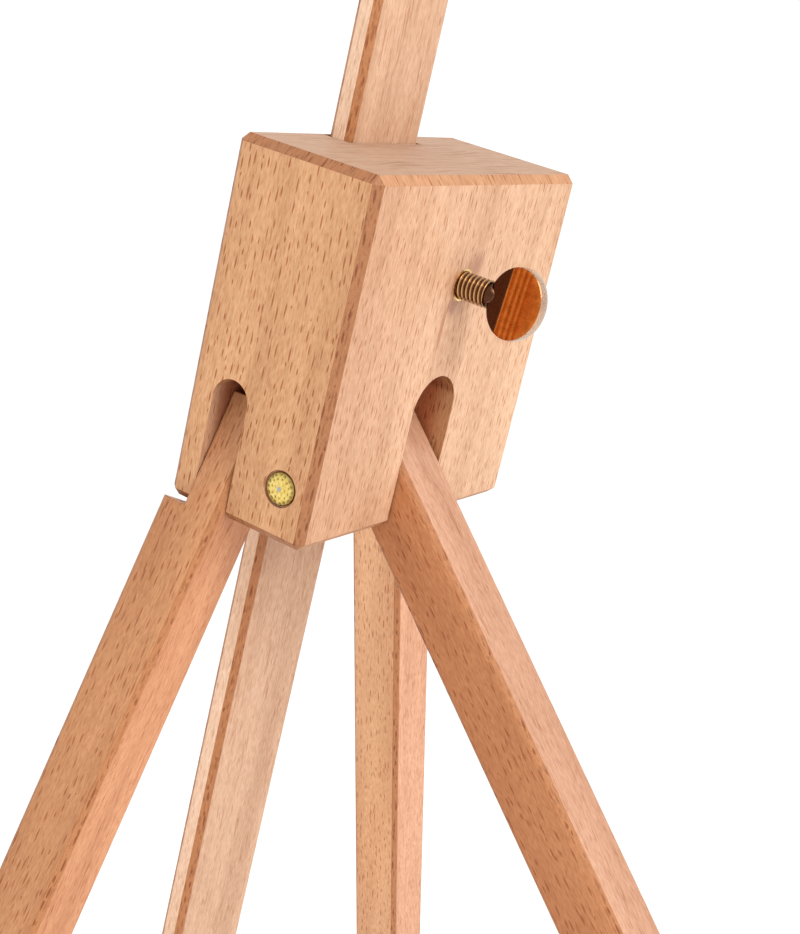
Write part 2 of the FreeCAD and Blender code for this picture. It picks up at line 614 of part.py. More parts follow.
b = new_body("JawBody")
s = new_sketch(b, "jaw_profile", "YZ_Plane", -D["ledge_half"])
jd, jt = D["jaw_deep"], D["jaw_tall"]
loop(s, [(0, 0), (D["jaw_lip"], 0), (D["jaw_lip"], D["jaw_notch"]), (jd - D["jaw_heel"], D["jaw_notch"]),
         (jd - D["jaw_heel"], 0), (jd, 0), (jd, jt), (3.0, jt), (0, jt - 3.0)])
pad(b, s, D["ledge_half"] * 2)
for tag, sign in (("a", 1), ("b", -1)):
    s = new_sketch(b, "jaw_wood_hole_" + tag, "XZ_Plane", -1)
    ring(s, D["jaw_wood_u"] * sign, D["jaw_wood_w"] , D["wood_radius"] + D["wood_fit"])
    cut(b, s, jd + 2)
    s = new_sketch(b, "jaw_wood_sink_" + tag, "XZ_Plane", -1)
    ring(s, D["jaw_wood_u"] * sign, D["jaw_wood_w"], D["wood_head"] + 0.1)
    cut(b, s, D["wood_cone"] + 1.6)
finish(b, "holder_jaw", in_head(0, -N["hold_nose"] - N["jaw_deep"], hw))

w1 = wood_screw("jaw_a", D["jaw_wood_long"])
w2 = wood_screw("jaw_b", D["jaw_wood_long"])
y0 = -N["hold_nose"] - N["jaw_deep"] + 0.5
w1.Placement = Placement(Vector(N["jaw_wood_u"], y0, N["jaw_wood_w"]), BACKWARD)
w2.Placement = Placement(Vector(-N["jaw_wood_u"], y0, N["jaw_wood_w"]), BACKWARD)
finish(pair("JawWoodScrews", w1, w2), "holder_wood_screws", in_head(0, 0, hw))

hs = hw + N["hold_screw_w"]
finish(insert("holder", D["hold_insert_long"]), "holder_insert",
       in_head(0, N["hold_back"] - N["hold_insert_long"], hs, BACKWARD))
finish(shoe("holder"), "holder_shoe", in_head(0, back, hs, BACKWARD))
finish(thumb_screw("holder", D["hold_screw_long"]), "holder_screw",
       in_head(0, back + N["shoe_thick"], hs, BACKWARD))

# ---------------------------------------------------------------- checks, export
doc.recompute()
bad = []
for o in doc.Objects:
    if "Invalid" in o.State or "Error" in o.State:
        bad.append((o.Name, o.State))
for o in nodes:
    if o.Shape.isNull() or not o.Shape.isValid() or not o.Shape.Solids:
        bad.append((o.Label, "shape"))
if bad:
    raise RuntimeError("failed objects: %s" % bad)

box = FreeCAD.BoundBox()
for o in nodes:
    o.Shape.exportStep("parts/%s.step" % o.Label)
    tight = o.Shape.optimalBoundingBox(False, False)
    box.add(tight)
    print("%-20s solids %d  volume %10.2f  z %.2f..%.2f" % (
        o.Label, len(o.Shape.Solids), o.Shape.Volume, tight.ZMin, tight.ZMax))
print("nodes", len(nodes), "box", box)
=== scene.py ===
import bpy, bmesh, math, random
from mathutils import Vector, Matrix, Euler


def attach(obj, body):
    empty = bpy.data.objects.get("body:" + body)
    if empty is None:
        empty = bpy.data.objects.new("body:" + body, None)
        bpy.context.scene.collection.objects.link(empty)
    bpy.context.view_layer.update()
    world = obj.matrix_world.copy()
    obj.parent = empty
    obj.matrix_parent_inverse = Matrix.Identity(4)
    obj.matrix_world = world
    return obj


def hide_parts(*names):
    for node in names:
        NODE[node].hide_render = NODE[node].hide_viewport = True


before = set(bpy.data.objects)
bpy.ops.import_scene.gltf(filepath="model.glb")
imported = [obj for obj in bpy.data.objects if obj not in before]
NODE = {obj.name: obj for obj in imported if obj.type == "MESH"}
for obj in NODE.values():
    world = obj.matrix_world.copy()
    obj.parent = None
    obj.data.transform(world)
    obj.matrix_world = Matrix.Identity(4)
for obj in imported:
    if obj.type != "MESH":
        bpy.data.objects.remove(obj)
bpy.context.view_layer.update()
MM = 0.001

# ------------------------------------------------------------------ the easel's own axes
# u across (+u is the left seen from behind), v front to back, w along the mast
LEAN = math.radians(15.3)
U = Vector((1, 0, 0))
V = Vector((0, math.cos(LEAN), -math.sin(LEAN)))
W = Vector((0, math.sin(LEAN), math.cos(LEAN)))
HEAD = Vector((0, -61.17, 292.0)) * MM


def at(u, v, w):
    return HEAD + (U * u + V * v + W * w) * MM


# ------------------------------------------------------------------ node helpers
class Graph:
    def __init__(self, name):
        self.mat = bpy.data.materials.new(name)
        self.mat.use_nodes = True
        self.nt = self.mat.node_tree
        self.nt.nodes.clear()
        out = self.nt.nodes.new("ShaderNodeOutputMaterial")
        self.bsdf = self.nt.nodes.new("ShaderNodeBsdfPrincipled")
        self.nt.links.new(self.bsdf.outputs["BSDF"], out.inputs["Surface"])

    def new(self, kind, **props):
        n = self.nt.nodes.new(kind)
        for k, v in props.items():
            setattr(n, k, v)
        return n

    def put(self, socket, value):
        if isinstance(value, bpy.types.NodeSocket):
            self.nt.links.new(value, socket)
        elif value is not None:
            if socket.type == "RGBA" and len(value) == 3:
                value = (*value, 1.0)
            socket.default_value = value

    def math(self, op, a, b=None, c=None, clamp=False):
        n = self.new("ShaderNodeMath", operation=op, use_clamp=clamp)
        for s, v in zip(n.inputs, (a, b, c)):
            self.put(s, v)
        return n.outputs[0]

    def add(self, a, b):
        return self.math("ADD", a, b)

    def sub(self, a, b):
        return self.math("SUBTRACT", a, b)

    def mul(self, a, b):
        return self.math("MULTIPLY", a, b)

    def madd(self, a, b, c):
        return self.math("MULTIPLY_ADD", a, b, c)

    def vec(self, op, a, b=None):
        n = self.new("ShaderNodeVectorMath", operation=op)
        self.put(n.inputs[0], a)
        if b is not None:
            self.put(n.inputs[1], b)
        return n.outputs["Value"] if op in ("LENGTH", "DOT_PRODUCT", "DISTANCE") else n.outputs["Vector"]

    def split(self, v):
        n = self.new("ShaderNodeSeparateXYZ")
        self.put(n.inputs[0], v)
        return n.outputs[0], n.outputs[1], n.outputs[2]

    def join(self, x, y, z):
        n = self.new("ShaderNodeCombineXYZ")
        for s, v in zip(n.inputs, (x, y, z)):
            self.put(s, v)
        return n.outputs[0]

    def noise(self, v, scale=1.0, detail=2.0, rough=0.5, distort=0.0, colour=False):
        n = self.new("ShaderNodeTexNoise", noise_dimensions="3D")
        self.put(n.inputs["Vector"], v)
        self.put(n.inputs["Scale"], scale)
        self.put(n.inputs["Detail"], detail)
        self.put(n.inputs["Roughness"], rough)
        self.put(n.inputs["Distortion"], distort)
        return n.outputs["Color"] if colour else n.outputs[0]

    def step(self, v, a, b, lo=0.0, hi=1.0):
        n = self.new("ShaderNodeMapRange", interpolation_type="SMOOTHSTEP", clamp=True)
        for s, x in zip(n.inputs, (v, a, b, lo, hi)):
            self.put(s, x)
        return n.outputs[0]

    def ramp(self, v, a, b, lo=0.0, hi=1.0):
        n = self.new("ShaderNodeMapRange", interpolation_type="LINEAR", clamp=True)
        for s, x in zip(n.inputs, (v, a, b, lo, hi)):
            self.put(s, x)
        return n.outputs[0]

    def mix(self, f, a, b, mode="MIX"):
        n = self.new("ShaderNodeMix", data_type="RGBA", blend_type=mode)
        self.put(n.inputs[0], f)
        self.put(n.inputs[6], a)
        self.put(n.inputs[7], b)
        return n.outputs[2]

    def mixf(self, f, a, b):
        n = self.new("ShaderNodeMix", data_type="FLOAT")
        self.put(n.inputs[0], f)
        self.put(n.inputs[2], a)
        self.put(n.inputs[3], b)
        return n.outputs[0]

    def local(self, origin, axes, unit=MM):
        """Object coordinates turned into a piece's own axes, in millimetres, and the
        surface normal in the same axes."""
        m = Matrix((axes[0], axes[1], axes[2])).transposed()
        rot = m.to_euler()
        tc = self.new("ShaderNodeTexCoord")
        p = self.new("ShaderNodeMapping", vector_type="TEXTURE")
        self.put(p.inputs["Vector"], tc.outputs["Object"])
        p.inputs["Location"].default_value = origin
        p.inputs["Rotation"].default_value = rot
        p.inputs["Scale"].default_value = (unit, unit, unit)
        n = self.new("ShaderNodeMapping", vector_type="TEXTURE")
        self.put(n.inputs["Vector"], tc.outputs["Normal"])
        n.inputs["Rotation"].default_value = rot
        return p.outputs[0], n.outputs[0]

    def bump(self, height, strength, distance):
        n = self.new("ShaderNodeBump")
        self.put(n.inputs["Height"], height)
        n.inputs["Strength"].default_value = strength
        n.inputs["Distance"].default_value = distance
        self.nt.links.new(n.outputs[0], self.bsdf.inputs["Normal"])


def lin(r, g, b):
    """sRGB 0..255 to linear"""
    def f(c):
        c = c / 255.0
        return c / 12.92 if c <= 0.04045 else ((c + 0.055) / 1.055) ** 2.4
    return (f(r), f(g), f(b))


# ------------------------------------------------------------------ beech
def beech(name, origin, axes, seed=0.0, face_a=None, face_b=None, end=None, edge=None,
          dash_a=1.0, dash_b=0.5, streak_a=0.3, streak_b=0.8, edge_a=1.0, edge_b=0.5,
          spots=(), end_u=1.0, band=1.0, wave=1.0, slot_shade=False, painted_light_ramp=0.0):
    """Oiled beech.  axes = (a, b, grain): a and b are the normals of the long faces.
    Ray flecks are short dark lenses along the grain; long faces have them end on,
    the sawn ends show growth and ray lines, planed arrises are darker."""
    g = Graph(name)
    P, Nl = g.local(origin, axes)
    pa, pb, pg = g.split(P)
    nv = g.vec("ABSOLUTE", Nl)
    na, nb, ng = g.split(nv)
    sel_a = g.step(na, 0.82, 0.90)
    sel_b = g.step(nb, 0.82, 0.90)
    is_end = g.step(ng, 0.80, 0.92)
    biggest = g.math("MAXIMUM", g.math("MAXIMUM", na, nb), ng)
    chamfer = g.step(biggest, 0.97, 0.86)

    # coordinate across the grain on whichever face this is, and the depth of that face
    rest = g.math("SUBTRACT", 1.0, g.add(sel_a, sel_b), clamp=True)
    flat_b = g.step(nb, 0.35, 0.2)
    flat_a = g.step(na, 0.35, 0.2)
    slant = g.math("SUBTRACT", 1.0, g.add(flat_a, flat_b), clamp=True)
    skew = g.mul(slant, g.madd(pb, -0.35, g.mul(pa, 0.8)))
    skew = g.madd(flat_b, pb, g.madd(flat_a, pa, skew))
    t = g.add(g.add(g.mul(sel_a, pb), g.mul(sel_b, pa)), g.mul(rest, skew))
    d = g.add(g.add(g.mul(sel_a, pa), g.mul(sel_b, pb)), seed * 7.3 + 3.1)
    # the grain wanders a little
    sway = g.noise(g.join(g.mul(t, 0.03), g.mul(d, 0.02), g.madd(pg, 0.022, seed)), 1.0, 1.0)
    t = g.madd(sway, 3.2 * wave, t)

    def layer(ct, cg, ht, hg, off, keep, soft=0.35):
        v = g.join(g.madd(t, 1 / ct, off), g.madd(d, 0.04, off * 0.7), g.madd(pg, 1 / cg, off * 1.7))
        vo = g.new("ShaderNodeTexVoronoi", voronoi_dimensions="3D", feature="F1")
        g.put(vo.inputs["Vector"], v)
        vo.inputs["Scale"].default_value = 1.0
        dx, dy, dz = g.split(g.vec("SUBTRACT", v, vo.outputs["Position"]))
        r1, r2, r3 = g.split(vo.outputs["Color"])
        x = g.math("ABSOLUTE", g.mul(dx, ct / ht))
        z = g.math("DIVIDE", g.mul(dz, cg / hg), g.madd(r2, 0.9, 0.5))
        lens = g.add(x, g.mul(z, z))
        m = g.step(lens, 1.0 + soft, 1.0 - soft)
        return g.mul(m, g.step(r1, 1 - keep - 0.12, 1 - keep + 0.2))

    strong = layer(1.55, 4.4, 0.185, 1.35, seed + 1.3, 0.66, 0.45)
    small = layer(0.80, 2.9, 0.15, 1.05, seed + 5.1, 0.80, 0.6)
    pale = layer(0.62, 2.3, 0.20, 0.95, seed + 9.4, 0.8, 0.6)

    # long fine streaks
    sv = g.join(g.madd(t, 0.62, seed), g.mul(d, 0.05), g.mul(pg, 0.035))
    sn = g.noise(sv, 1.0, 3.0, 0.62)
    line = g.step(g.math("ABSOLUTE", g.sub(sn, 0.5)), 0.030, 0.004)
    breaks = g.step(g.noise(g.join(g.mul(t, 0.5), g.mul(d, 0.05), g.madd(pg, 0.11, seed)), 1.0, 2.0), 0.42, 0.60)
    line = g.mul(line, breaks)
    sv2 = g.join(g.madd(t, 1.9, seed), g.mul(d, 0.05), g.mul(pg, 0.12))
    streak = g.step(g.noise(sv2, 1.0, 3.0, 0.6), 0.54, 0.72)

    # fibre and broad bands
    fibre = g.noise(g.join(g.mul(t, 2.6), g.mul(d, 0.2), g.madd(pg, 0.50, seed)), 1.0, 3.0, 0.65)
    bands = g.noise(g.join(g.madd(t, 0.13, seed * 0.37), g.mul(d, 0.08), g.mul(pg, 0.012)), 1.0, 2.0, 0.5)

    fa = face_a or lin(217, 164, 121)
    fb = face_b or lin(231, 179, 141)
    fe = end or lin(207, 166, 142)
    fc = edge or lin(176, 112, 70)
    col = g.mix(sel_b, fa, fb)
    b1 = g.ramp(bands, 0.30, 0.70, 1.0 - 0.13 * band, 1.0 + 0.10 * band)
    col = g.mix(1.0, col, g.join(b1, g.madd(g.sub(b1, 1.0), 1.35, 1.0), g.madd(g.sub(b1, 1.0), 1.7, 1.0)), "MULTIPLY")
    f1 = g.ramp(fibre, 0.28, 0.72, 0.86, 1.13)
    col = g.mix(1.0, col, g.join(f1, g.madd(g.sub(f1, 1.0), 1.2, 1.0), g.madd(g.sub(f1, 1.0), 1.5, 1.0)), "MULTIPLY")

    # painted light: across the b faces the colour is painted a little paler towards -a, a painted light gradient
    painted_light_f = g.mul(sel_b, g.mul(pa, -painted_light_ramp / 39.0))
    col = g.mix(1.0, col, g.join(g.madd(painted_light_f, 0.55, 1.0), g.add(painted_light_f, 1.0), g.madd(painted_light_f, 1.1, 1.0)), "MULTIPLY")
    amt_dash = g.add(g.add(g.mul(sel_a, dash_a), g.mul(sel_b, dash_b)), g.mul(rest, 0.9))
    amt_streak = g.add(g.add(g.mul(sel_a, streak_a), g.mul(sel_b, streak_b)), g.mul(rest, 0.6))
    dark = (0.60, 0.36, 0.22)
    col = g.mix(g.mul(g.mul(streak, amt_streak), 0.42), col, g.mix(1.0, col, (0.78, 0.60, 0.46), "MULTIPLY"))
    col = g.mix(g.mul(g.mul(line, amt_streak), 0.75), col, g.mix(1.0, col, (0.70, 0.50, 0.35), "MULTIPLY"))
    col = g.mix(g.mul(pale, 0.42), col, g.mix(1.0, col, (1.14, 1.22, 1.32), "MULTIPLY"))
    col = g.mix(g.mul(g.mul(small, amt_dash), 0.55), col, g.mix(1.0, col, (0.78, 0.60, 0.46), "MULTIPLY"))
    col = g.mix(g.mul(g.mul(strong, amt_dash), 0.92), col, g.mix(1.0, col, dark, "MULTIPLY"))

    # sawn ends: fine nearly parallel lines, and specks
    warp = g.noise(g.join(g.mul(pa, 0.03), g.mul(pb, 0.05), seed), 1.0, 1.0)
    across = g.madd(warp, 9.0, g.add(g.mul(pb, end_u), g.mul(pa, 1.0 - end_u)))
    along = g.add(g.mul(pa, end_u), g.mul(pb, 1.0 - end_u))
    e1 = g.noise(g.join(g.mul(along, 0.035), g.mul(across, 1.5), seed), 1.0, 3.0, 0.62)
    e2 = g.noise(g.join(g.mul(along, 0.35), g.mul(across, 0.55), seed + 4.0), 1.0, 3.0, 0.6)
    ec = g.mix(g.step(e1, 0.52, 0.66), fe, g.mix(1.0, fe, (0.74, 0.60, 0.50), "MULTIPLY"))
    ec = g.mix(g.mul(g.step(e1, 0.46, 0.28), 0.5), ec, g.mix(1.0, fe, (1.12, 1.15, 1.18), "MULTIPLY"))
    e3 = g.ramp(e2, 0.3, 0.7, 0.93, 1.06)
    ec = g.mix(1.0, ec, g.join(e3, e3, e3), "MULTIPLY")
    col = g.mix(is_end, col, ec)

    # planed arrises
    ticks = g.math("MAXIMUM", strong, g.mul(small, 0.6))
    grit = g.ramp(g.noise(P, 3.0, 3.0, 0.7), 0.3, 0.7, 0.88, 1.12)
    amt_edge = g.add(g.mul(g.step(na, 0.3, 0.6), edge_a), g.mul(g.step(na, 0.6, 0.3), edge_b))
    em = g.mul(chamfer, amt_edge)
    ce = g.mix(1.0, fc, g.join(g.mul(grit, f1), g.mul(grit, f1), g.mul(grit, f1)), "MULTIPLY")
    ce = g.mix(g.mul(ticks, 0.85), ce, g.mix(1.0, ce, (0.50, 0.30, 0.20), "MULTIPLY"))
    col = g.mix(em, col, ce)

    for s in spots:
        q = g.vec("DIVIDE", g.vec("SUBTRACT", P, s["at"]), s["r"])
        nz = g.noise(P, s.get("grit", 0.5), 3.0, 0.6, 0.0, colour=True)
        q = g.vec("ADD", q, g.vec("MULTIPLY", g.vec("SUBTRACT", nz, (0.5, 0.5, 0.5)), (s.get("rag", 0.8),) * 3))
        m = g.step(g.vec("LENGTH", q), 1.0, s.get("core", 0.35))
        m = g.mul(m, s["amt"])
        col = g.mix(m, col, g.mix(1.0, col, s["tint"], "MULTIPLY"))

    if slot_shade:
        # painted shade: surfaces deep in the slots are painted darker, standing in for the shade there
        du = g.sub(38.2, g.math("ABSOLUTE", pa))
        dv = g.math("MINIMUM", g.sub(pb, 0.8), g.sub(33.8, pb))
        dw = g.math("MINIMUM", g.sub(pg, 0.8), g.sub(75.2, pg))
        depth = g.math("MINIMUM", g.math("MINIMUM", du, dv), dw)
        col = g.mix(g.step(depth, 0.0, 5.0), col, g.mix(1.0, col, (0.70, 0.44, 0.36), "MULTIPLY"))
    g.nt.links.new(col, g.bsdf.inputs["Base Color"])
    rough = g.ramp(fibre, 0.2, 0.8, 0.58, 0.44)
    rough = g.madd(strong, 0.18, rough)
    rough = g.madd(is_end, 0.12, rough)
    g.nt.links.new(rough, g.bsdf.inputs["Roughness"])
    g.bsdf.inputs["Specular IOR Level"].default_value = 0.35
    h = g.madd(strong, -0.8, g.madd(small, -0.3, g.mul(fibre, 0.55)))
    h = g.madd(g.mul(line, amt_streak), -0.35, h)
    h = g.madd(g.mul(is_end, e1), 0.6, h)
    h = g.madd(g.mul(em, ticks), -0.7, h)
    g.bump(h, 0.35, 0.00012)
    return g.mat


def metal(name, base, worn, dark, rough=0.25, grit=3.0, origin=(0, 0, 0)):
    """Plated brass: a lacquered colour, paler where rubbed, darker in patches."""
    g = Graph(name)
    P, Nl = g.local(origin, (U, V, W))
    n1 = g.noise(P, 0.35 * grit, 4.0, 0.6)
    n2 = g.noise(P, 1.6 * grit, 3.0, 0.6)
    col = g.mix(g.step(n1, 0.38, 0.62), base, worn)
    col = g.mix(g.mul(g.step(n2, 0.55, 0.75), 0.6), col, dark)
    g.nt.links.new(col, g.bsdf.inputs["Base Color"])
    g.bsdf.inputs["Metallic"].default_value = 1.0
    g.nt.links.new(g.ramp(n2, 0.3, 0.7, rough * 0.8, rough * 1.4), g.bsdf.inputs["Roughness"])
    g.bump(n2, 0.12, 0.0001)
    return g.mat


def rubber(name):
    g = Graph(name)
    P, Nl = g.local((0, 0, 0), (Vector((1, 0, 0)), Vector((0, 1, 0)), Vector((0, 0, 1))))
    n1 = g.noise(P, 2.2, 4.0, 0.65)
    n2 = g.noise(P, 0.25, 3.0, 0.5)
    col = g.mix(g.ramp(n2, 0.3, 0.7), (0.018, 0.017, 0.016), (0.040, 0.038, 0.036))
    dust = g.mul(g.step(n1, 0.60, 0.78), 0.5)
    col = g.mix(dust, col, (0.11, 0.10, 0.09))
    g.nt.links.new(col, g.bsdf.inputs["Base Color"])
    g.nt.links.new(g.ramp(n1, 0.3, 0.7, 0.62, 0.82), g.bsdf.inputs["Roughness"])
    g.bump(n1, 0.4, 0.0002)
    return g.mat


def tone(rgb, k):
    return tuple(c * f for c, f in zip(lin(*rgb), k))


def set_material(obj, mat):
    obj.data.materials.clear()
    obj.data.materials.append(mat)


def assign(node, mat):
    for s in NODE[node].material_slots:
        s.material = mat


# ------------------------------------------------------------------ wood
XHEAD = (U, V, W)
bruise = (0.72, 0.60, 0.62)
hub_spots = (
    dict(at=(-3.4, 34.6, 57.6), r=(3.6, 3.0, 3.4), tint=(0.74, 0.62, 0.62), amt=0.85, rag=0.9),
    dict(at=(2.2, 34.6, 48.6), r=(2.6, 3.0, 2.6), tint=(0.60, 0.46, 0.48), amt=0.85, rag=0.9),
    dict(at=(3.4, 34.6, 53.0), r=(1.3, 3.0, 4.5), tint=(0.62, 0.42, 0.30), amt=0.75, rag=0.5),
    dict(at=(4.6, 34.6, 44.0), r=(0.9, 3.0, 6.5), tint=(0.60, 0.40, 0.28), amt=0.7, rag=0.5),
)
M = {}
# painted light and shade on the hub: the rear face is painted paler towards -u, and the surfaces deep in the slots
# are painted darker
M["hub"] = beech("wood_head", HEAD, XHEAD, seed=0.0, spots=hub_spots, slot_shade=True,
                 painted_light_ramp=0.10, dash_b=0.75, streak_b=0.5,
                 face_a=tone((218, 165, 122), (0.84, 0.81, 0.75)), face_b=tone((235, 184, 147), (0.68, 0.68, 0.66)),
                 end=tone((208, 167, 141), (0.69, 0.69, 0.65)), edge=tone((178, 116, 76), (0.77, 0.79, 0.74)))
M["mast"] = beech("wood_mast", HEAD, XHEAD, seed=2.7, face_a=tone((240, 200, 168), (0.92, 0.94, 0.95)), face_b=tone((233, 182, 147), (0.69, 0.71, 0.70)),
                  edge=tone((190, 125, 80), (0.8, 0.8, 0.75)),
                  dash_a=0.4, dash_b=0.25, streak_b=1.0)


def leg_axes(side):
    if side == "rear":
        a = math.radians(45.4)
        down = -W * math.cos(a) + V * math.sin(a)
        piv = at(0, 27.1, 11.2)
        grain = -down
        return piv, (U, grain.cross(U), grain)
    s = 1 if side == "left" else -1
    a = math.radians(21.0)
    down = -W * math.cos(a) + U * (s * math.sin(a))
    piv = at(29.6 * s, 0, 11.2)
    grain = -down
    return piv, (V.cross(grain), V, grain)


for side, seed, fa, fb in (("left", 4.4, tone((207, 148, 104), (0.78, 0.74, 0.68)), tone((222, 160, 118), (0.73, 0.67, 0.60))),
                           ("right", 6.1, tone((230, 174, 130), (0.90, 0.92, 0.90)), tone((238, 184, 146), (0.70, 0.62, 0.58))),
                           ("rear", 8.3, tone((205, 142, 98), (0.78, 0.70, 0.60)), tone((232, 184, 150), (0.62, 0.55, 0.52)))):
    piv, ax = leg_axes(side)
    M["leg_" + side] = beech("wood_leg_" + side, piv, ax, seed=seed, face_a=fa, face_b=fb,
                             dash_a=0.8, dash_b=0.4, edge=tone((190, 125, 80), (0.8, 0.8, 0.75)))
PLAIN = dict(face_a=tone((217, 164, 121), (0.82, 0.78, 0.72)), face_b=tone((233, 182, 144), (0.78, 0.66, 0.64)),
             end=tone((208, 167, 141), (0.69, 0.69, 0.65)), edge=tone((185, 120, 78), (0.78, 0.79, 0.74)))
M["ledge"] = beech("wood_ledge", HEAD, XHEAD, **PLAIN, seed=11.0)
M["holder"] = beech("wood_holder", HEAD, XHEAD, **PLAIN, seed=13.0)
M["shelf"] = beech("wood_shelf", HEAD, (V, W, U), **PLAIN, seed=15.0)
M["lip"] = beech("wood_lip", HEAD, (V, W, U), **PLAIN, seed=17.0)
M["jaw"] = beech("wood_jaw", HEAD, (V, W, U), **PLAIN, seed=19.0)

for node, key in (("hub_block", "hub"), ("mast", "mast"), ("mast_stop", "mast"),
                  ("leg_left", "leg_left"), ("leg_right", "leg_right"), ("leg_rear", "leg_rear"),
                  ("ledge_slider", "ledge"), ("ledge_shelf", "shelf"), ("ledge_lip", "lip"),
                  ("holder_slider", "holder"), ("holder_jaw", "jaw")):
    assign(node, M[key])
M["rubber"] = rubber("rubber_black")
for s in ("left", "right", "rear"):
    assign("foot_" + s, M["rubber"])
M["brass"] = metal("brass_plain", lin(214, 170, 96), lin(236, 206, 140), lin(120, 74, 30))
M["steel"] = metal("steel_zinc", lin(190, 188, 182), lin(214, 212, 206), lin(120, 116, 108))
M["copper"] = metal("brass_antique", (0.42, 0.11, 0.02), (0.50, 0.14, 0.03), (0.25, 0.07, 0.015))
for n in ("hub_insert", "ledge_insert", "holder_insert", "hub_shoe", "ledge_shoe", "holder_shoe",
          "pin_left", "pin_right", "pin_rear"):
    assign(n, M["brass"])
for n in ("hub_screw", "ledge_screw", "holder_screw"):
    assign(n, M["copper"])
for n in ("foot_nail_left", "foot_nail_right", "foot_nail_rear", "ledge_wood_screws", "holder_wood_screws"):
    assign(n, M["steel"])

# ------------------------------------------------------------------ turned and stamped hardware
def make(name, bm, mat, body, smooth=True):
    bmesh.ops.recalc_face_normals(bm, faces=bm.faces)
    me = bpy.data.meshes.new(name)
    bm.to_mesh(me)
    bm.free()
    for poly in me.polygons:
        poly.use_smooth = smooth
    ob = bpy.data.objects.new(name, me)
    bpy.context.scene.collection.objects.link(ob)
    me.materials.append(mat)
    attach(ob, body)
    return ob


def frame_of(origin, axis, side):
    z = axis.normalized()
    y = side.normalized()
    x = y.cross(z)
    m = Matrix((x, y, z)).transposed().to_4x4()
    m.translation = origin
    return m


def add_thread(bm, m, z0, z1, major=2.97, minor=2.42, pitch=1.0, n=40):
    prof = ((0.0, minor), (0.10, minor), (0.44, major), (0.56, major), (0.90, minor))
    turns = int((z1 - z0) / pitch) + 2
    rows = []
    for i in range(n * turns + 1):
        a = 2 * math.pi * i / n
        z = z0 - pitch + pitch * i / n
        rows.append([bm.verts.new(m @ (Vector((r * math.cos(a), r * math.sin(a), min(max(z + dz * pitch, z0), z1))) * MM))
                     for dz, r in prof])
    k = len(prof)
    for i in range(n * turns):
        for j in range(k - 1):
            bm.faces.new((rows[i][j], rows[i + 1][j], rows[i + 1][j + 1], rows[i][j + 1]))
        if i + 1 + n < len(rows):
            bm.faces.new((rows[i][k - 1], rows[i + 1][k - 1], rows[i + 1 + n][0], rows[i + n][0]))
    bmesh.ops.remove_doubles(bm, verts=bm.verts, dist=1e-7)


def add_lathe(bm, m, prof, n=48):
    rings = []
    for r, z in prof:
        if r <= 1e-6:
            rings.append([bm.verts.new(m @ (Vector((0, 0, z)) * MM))])
        else:
            rings.append([bm.verts.new(m @ (Vector((r * math.cos(2 * math.pi * i / n), r * math.sin(2 * math.pi * i / n), z)) * MM))
                          for i in range(n)])
    for a, b in zip(rings, rings[1:]):
        for i in range(n):
            j = (i + 1) % n
            if len(a) == 1:
                bm.faces.new((a[0], b[i], b[j]))
            elif len(b) == 1:
                bm.faces.new((a[i], a[j], b[0]))
            else:
                bm.faces.new((a[i], a[j], b[j], b[i]))


def add_spade(bm, m, cz, a=6.3, b=7.65, half=1.7, rim=0.75):
    """Flat oval grip: cz is its centre along the screw, four fine grooves cross each face."""
    ai, bi = a - rim, b - rim
    cuts = set()
    lines = [-0.30 * a + 1.25 * i for i in range(4)]
    for s in lines:
        cuts.update((s - 0.17, s, s + 0.17))
    for i in range(1, 26):
        c = -ai * math.cos(math.pi * i / 26)
        if all(abs(c - s) > 0.25 for s in lines):
            cuts.add(c)
    cuts = sorted(cuts)

    def lift(s):
        g = max([0.0] + [1 - abs(s - x) / 0.17 for x in lines])
        slope = max(0.0, (-0.38 * a - s)) * 0.10
        return half - 0.20 * g - slope

    M_ = 14
    for face in (1, -1):
        grid = []
        for s in cuts:
            T = bi * math.sqrt(max(0.0, 1 - (s / ai) ** 2))
            grid.append([bm.verts.new(m @ (Vector((face * lift(s), T * (2 * k / M_ - 1), cz + s)) * MM)) for k in range(M_ + 1)])
        lo = bm.verts.new(m @ (Vector((face * lift(-ai), 0, cz - ai)) * MM))
        hi = bm.verts.new(m @ (Vector((face * lift(ai), 0, cz + ai)) * MM))
        for r0, r1 in zip(grid, grid[1:]):
            for k in range(M_):
                bm.faces.new((r0[k], r0[k + 1], r1[k + 1], r1[k]))
        for k in range(M_):
            bm.faces.new((lo, grid[0][k], grid[0][k + 1]))
            bm.faces.new((hi, grid[-1][k], grid[-1][k + 1]))
        edge = [lo] + [r[M_] for r in grid] + [hi] + [r[0] for r in reversed(grid)]
        if face == 1:
            top = edge
            ang = [(-1, 0)] + [(s / ai, 1) for s in cuts] + [(1, 0)] + [(s / ai, -1) for s in reversed(cuts)]
        else:
            bottom = edge
    prev = top
    steps = 8
    for q in range(1, steps):
        ph = math.pi * q / steps
        out = math.sin(ph) ** 0.6
        nn = math.cos(ph)
        nn = math.copysign(abs(nn) ** 0.6, nn)
        ring = []
        for (c, sg), s in zip(ang, [-ai] + cuts + [ai] + cuts[::-1]):
            sn = math.sqrt(max(0.0, 1 - c * c)) * sg
            h = lift(s)
            ring.append(bm.verts.new(m @ (Vector((nn * h, (bi + rim * out) * sn, cz + (ai + rim * out) * c)) * MM)))
        L = len(ring)
        for i in range(L):
            j = (i + 1) % L
            bm.faces.new((prev[i], prev[j], ring[j], ring[i]))
        prev = ring
    L = len(prev)
    for i in range(L):
        j = (i + 1) % L
        bm.faces.new((prev[i], prev[j], bottom[j], bottom[i]))


